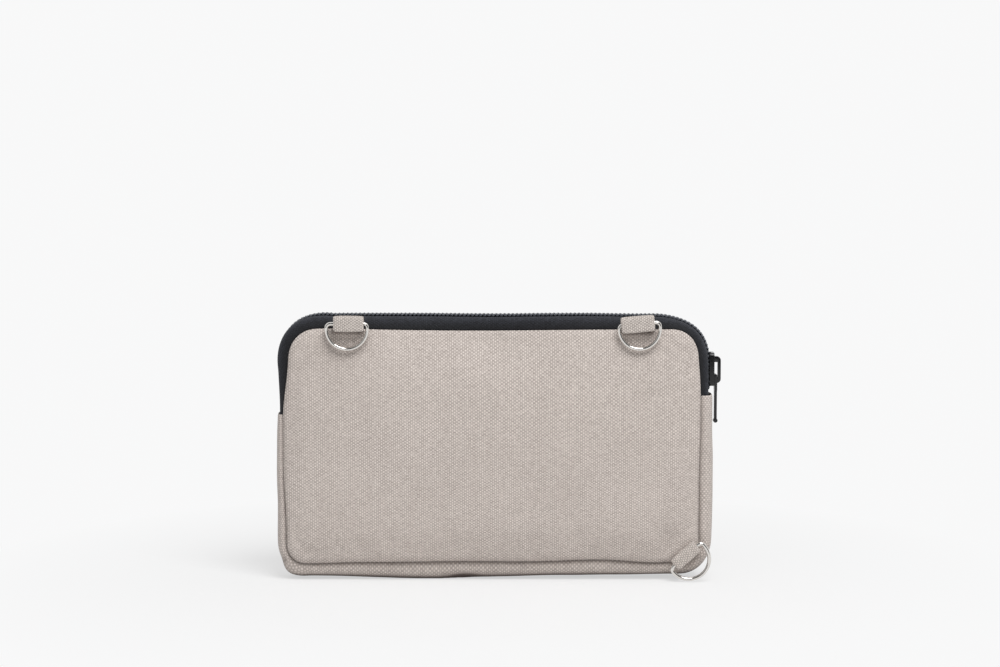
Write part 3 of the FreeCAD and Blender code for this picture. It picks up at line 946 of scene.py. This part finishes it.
def makeCoil(name, facing, shift, node):
    size = coilSize
    quarter = coilTop * math.pi / 2
    start = -(cornerX + quarter + cornerZ - leftFold + size["under"])
    end = cornerX + quarter + cornerZ - rightFold + size["under"]
    turns = int((end - start) / size["pitch"]) - 1
    level = coilTop - size["filament"] - size["height"] - size["clear"]
    curve = bpy.data.curves.new(name, "CURVE")
    curve.dimensions = "3D"
    curve.bevel_depth = size["filament"]
    curve.bevel_resolution = 1
    spline = curve.splines.new("POLY")
    spline.points.add(turns * size["perTurn"] - 1)
    for index, point in enumerate(spline.points):
        turn = 2 * math.pi * index / size["perTurn"]
        travel = start + (index / size["perTurn"] + shift) * size["pitch"]
        base, out = zipPlace(travel)
        sink = size["sinkLeft"] * max(0, -out.x) ** size["sinkPower"]
        place = base + out * (level + size["height"] * math.sin(turn) - sink)
        place += zipStray(place.x, place.z, out)
        place.y = facing * (size["middle"] + size["reach"] * math.cos(turn))
        point.co = (*place, 1)
    piece = bpy.data.objects.new(name, curve)
    bpy.context.collection.objects.link(piece)
    activate(piece)
    bpy.ops.object.convert(target="MESH")
    piece = named(name)
    smoothAll(piece, 80)
    finishPiece(piece, "pouch", coilNylon, "coil", node)


makeCoil("zipperCoilBack", -1, 0.0, "zipper_coil_back")
makeCoil("zipperCoilFront", 1, 0.5, "zipper_coil_front")
print("coils made")


# Tabs: webbing folded round the ring's bar, its front turning back under itself into the seam
tabSize = {
    "thick": 0.9 * mm, "outer": 1.73 * mm, "turnSteps": 12, "plySteps": 5, "hemSteps": 4, "widthSteps": 14,
    "highRoot": (3.6 * mm, -1.0 * mm), "root": 3.5 * mm, "rootDrop": 0.3 * mm, "hem": 0.75 * mm, "puff": 0.16 * mm,
    "edgeIn": 0.25 * mm, "wave": 0.12 * mm, "waveLength": 3 * mm, "swellFrom": 2 * mm,
}


def tabSection(size, lift, low):
    radius = size["outer"]
    across, up = size["highRoot"][0], size["highRoot"][1] - lift
    first = math.atan2(up, across) + math.acos(radius / math.hypot(across, up))
    high = Vector((0, *size["highRoot"]))
    fold = []
    for index in range(size["turnSteps"] + 1):
        turn = first + (math.pi - first) * index / size["turnSteps"]
        fold.append(Vector((0, math.cos(turn) * radius, math.sin(turn) * radius + lift)))
    points = [high.lerp(fold[0], index / size["plySteps"]) for index in range(size["plySteps"])]
    points += fold
    hem = size["hem"]
    front = Vector((0, -radius, -low + hem))
    points += [fold[-1].lerp(front, (index + 1) / size["plySteps"]) for index in range(size["plySteps"])]
    for index in range(1, size["hemSteps"] + 1):
        turn = math.pi / 2 * index / size["hemSteps"]
        points.append(Vector((0, -radius + hem - hem * math.cos(turn), -low + hem - hem * math.sin(turn))))
    under = points[-1]
    back = Vector((0, size["root"], -low - size["rootDrop"]))
    points += [under.lerp(back, (index + 1) / size["plySteps"]) for index in range(size["plySteps"])]
    return points


def makeTab(name, joint, node, tilt, width, lift, low, aside):
    size = tabSize
    section = tabSection(size, lift, low)
    lengths = [0.0]
    for first, second in zip(section, section[1:]):
        lengths.append(lengths[-1] + (second - first).length)
    piece = startChain(name, [point - Vector((width / 2, 0, 0)) for point in section])
    pushChain(Vector((width, 0, 0)), size["widthSteps"])
    objectMode()
    faceOut(piece)

    def along(co):
        nearest = min(range(len(section)), key=lambda i: math.dist((co.y, co.z), section[i].yz))
        return lengths[nearest]
    mapCloth(piece, lambda co: (co.x, along(co)))
    for vertex in piece.data.vertices:
        co = vertex.co
        edge = abs(co.x) / (width / 2)
        centre = Vector((0, 0, min(lift, max(0, co.z))))
        away = (Vector((0, co.y, co.z)) - centre).normalized()
        swell = size["puff"] * (1 - edge ** 4) - size["edgeIn"] * edge ** 10
        swell += size["wave"] * ripple(co.x, co.y, co.z, size["waveLength"])
        swell *= fade(size["highRoot"][0] - co.y, 0, size["swellFrom"])
        vertex.co = co + away * swell + Vector((aside, 0, 0))
    addModifier(piece, "SOLIDIFY", thickness=size["thick"], offset=-1)
    refine(piece)
    piece.rotation_euler = (0, -math.radians(tilt), 0)
    piece.location = jointPlace[joint]
    settle(piece)
    smoothAll(piece)
    finishPiece(piece, "pouch", webbing, "canvas", node)


tabShapes = {
    "Left": {"tilt": 0, "width": 12.8 * mm, "lift": 1.5 * mm, "low": 3.1 * mm, "aside": 0.7 * mm},
    "Right": {"tilt": 5, "width": 14.0 * mm, "lift": 1.5 * mm, "low": 3.3 * mm, "aside": -0.6 * mm},
    "Lower": {"tilt": 42, "width": 12.6 * mm, "lift": 0.9 * mm, "low": 2.6 * mm, "aside": 0},
}
for end, shape in tabShapes.items():
    makeTab("strapTab" + end, "ring_" + end.lower() + "_swing", "strap_tab_" + end.lower(), **shape)
print("tabs made")


# Slider and pull: the frame's shapes with their edges broken
def softEdges(name, node, body, width):
    piece = nodes[node].copy()
    piece.data = nodes[node].data.copy()
    for key in list(piece.keys()):
        del piece[key]
    piece.parent = None
    bpy.context.collection.objects.link(piece)
    activate(piece)
    piece = named(name)
    faceOut(piece)
    editMode()
    bpy.ops.mesh.select_all(action="SELECT")
    bpy.ops.mesh.dissolve_limited(angle_limit=math.radians(1))
    objectMode()
    addModifier(piece, "BEVEL", width=width, segments=3, limit_method="ANGLE", angle_limit=math.radians(40),
                use_clamp_overlap=True, harden_normals=False)
    smoothAll(piece, 30)
    finishPiece(piece, body, sliderPaint, "slider", node)


softEdges("sliderBody", "slider_body", "slider", 0.28 * mm)
softEdges("pullTab", "pull_tab", "pull", 0.16 * mm)
print("slider made")


# The frame's own pieces keep their shapes and get their finishes
finishes = {
    ringMetal: ("d_ring_left", "d_ring_right", "d_ring_lower"),
    liningCloth: ("lining_gusset",),
}
for material, members in finishes.items():
    for member in members:
        nodes[member].data.materials.clear()
        nodes[member].data.materials.append(material)
for member in finishes[ringMetal]:
    smoothAll(nodes[member], 35)
print("frame pieces finished")


# Pale floor that fades into the backdrop away from the pouch
stageSize = {
    "floor": 6.0, "near": 0.11, "far": 0.23, "least": 0.6, "colour": 0.86, "roughness": 0.95,
    "glow": (0.940, 0.941, 0.943),
}
clearSelection()
bpy.ops.mesh.primitive_plane_add(size=stageSize["floor"], location=(0, 0, 0))
floor = named("floor")
floorGraph = Graph("paleFloor")
floorGraph.set("Base Color", (stageSize["colour"],) * 3 + (1,))
floorGraph.set("Roughness", stageSize["roughness"])
floorGraph.set("Specular IOR Level", 0.0)
floorPlace = floorGraph.add("ShaderNodeTexCoord").outputs["Object"]
awayFrom = floorGraph.add("ShaderNodeVectorMath", [floorPlace], operation="LENGTH").outputs["Value"]
farShare = floorGraph.range(awayFrom, stageSize["near"], stageSize["far"], stageSize["least"], 1)
rays = floorGraph.add("ShaderNodeLightPath")
seen = floorGraph.math("MAXIMUM", rays.outputs["Is Camera Ray"], rays.outputs["Is Glossy Ray"])
seen = floorGraph.math("MAXIMUM", seen, rays.outputs["Is Transmission Ray"])
glow = floorGraph.add("ShaderNodeEmission", [(*stageSize["glow"], 1), 1.0])
blendShader = floorGraph.add("ShaderNodeMixShader")
floorGraph.links.new(floorGraph.math("MULTIPLY", farShare, seen), blendShader.inputs[0])
floorGraph.links.new(floorGraph.shader.outputs[0], blendShader.inputs[1])
floorGraph.links.new(glow.outputs[0], blendShader.inputs[2])
floorGraph.links.new(blendShader.outputs[0], floorGraph.nodes["Material Output"].inputs[0])
floor.data.materials.append(floorGraph.material)

# Even world light; lenses and metal see the pale backdrop, and the darker room in front of it
lightLevel = {
    "around": 0.50, "front": 0.32, "frontStart": -0.15, "frontFull": -0.95,
    "room": 0.03, "roomStart": -0.15, "roomFull": -0.60, "aim": (0, 0, 0.05),
    "key": 15.0, "keySize": 0.9, "keyPlace": (0.35, -0.75, 1.25),
    "fill": 1.0, "fillSize": 1.2, "fillPlace": (-0.9, -1.0, 0.5),
}
world = bpy.data.worlds.new("studio")
bpy.context.scene.world = world
world.use_nodes = True
skyNodes = world.node_tree.nodes
skyLinks = world.node_tree.links


def skyNode(kind, inputs, **values):
    node = skyNodes.new(kind)
    for key, value in values.items():
        setattr(node, key, value)
    for index, source in inputs.items():
        if hasattr(source, "links"):
            skyLinks.new(source, node.inputs[index])
        else:
            node.inputs[index].default_value = source
    return node


skyRays = skyNode("ShaderNodeLightPath", {})
seenRays = {0: skyRays.outputs["Is Camera Ray"], 1: skyRays.outputs["Is Transmission Ray"]}
skySeen = skyNode("ShaderNodeMath", seenRays, operation="MAXIMUM").outputs[0]
skyAim = skyNode("ShaderNodeSeparateXYZ", {0: skyNode("ShaderNodeTexCoord", {}).outputs["Generated"]})
room = skyNode("ShaderNodeMapRange", {
    0: skyAim.outputs[1], 1: lightLevel["roomStart"], 2: lightLevel["roomFull"],
    3: stageSize["glow"][0], 4: lightLevel["room"],
}).outputs[0]
soft = skyNode("ShaderNodeMapRange", {
    0: skyAim.outputs[1], 1: lightLevel["frontStart"], 2: lightLevel["frontFull"],
    3: lightLevel["around"], 4: lightLevel["front"],
}).outputs[0]
mirrored = skyNode("ShaderNodeMix", {0: skyRays.outputs["Is Glossy Ray"], 2: soft, 3: room}).outputs[0]
level = skyNode("ShaderNodeMix", {0: skySeen, 2: mirrored, 3: 1.0}).outputs[0]
tint = skyNode("ShaderNodeMix", {0: skySeen, 6: (1, 1, 1, 1), 7: (*stageSize["glow"], 1)},
               data_type="RGBA").outputs[2]
sky = skyNodes["Background"]
skyLinks.new(level, sky.inputs["Strength"])
skyLinks.new(tint, sky.inputs["Color"])


for kind in ("key", "fill"):
    lamp = bpy.data.lights.new(kind + "Lamp", "AREA")
    lamp.shape = "DISK"
    lamp.size = lightLevel[kind + "Size"]
    lamp.energy = lightLevel[kind]
    holder = bpy.data.objects.new(kind + "Lamp", lamp)
    bpy.context.collection.objects.link(holder)
    place = Vector(lightLevel[kind + "Place"])
    holder.location = place
    holder.rotation_euler = (Vector(lightLevel["aim"]) - place).to_track_quat("-Z", "Y").to_euler()

viewSize = {
    "lens": 85, "sensor": 36, "distance": 0.968, "elevation": 5.0, "clip": 0.01,
    "aim": (2.3 * mm, -9 * mm, 102.6 * mm),
}
cameraData = bpy.data.cameras.new("camera")
cameraData.lens = viewSize["lens"]
cameraData.sensor_width = viewSize["sensor"]
cameraData.clip_start = viewSize["clip"]
camera = bpy.data.objects.new("camera", cameraData)
bpy.context.collection.objects.link(camera)
tilt = math.radians(viewSize["elevation"])
direction = Vector((0, -math.cos(tilt), math.sin(tilt)))
aim = Vector(viewSize["aim"])
camera.location = aim + direction * viewSize["distance"]
camera.rotation_euler = (-direction).to_track_quat("-Z", "Y").to_euler()
bpy.context.scene.camera = camera
bpy.context.scene.view_settings.view_transform = "Standard"
print("stage, lights and camera set")
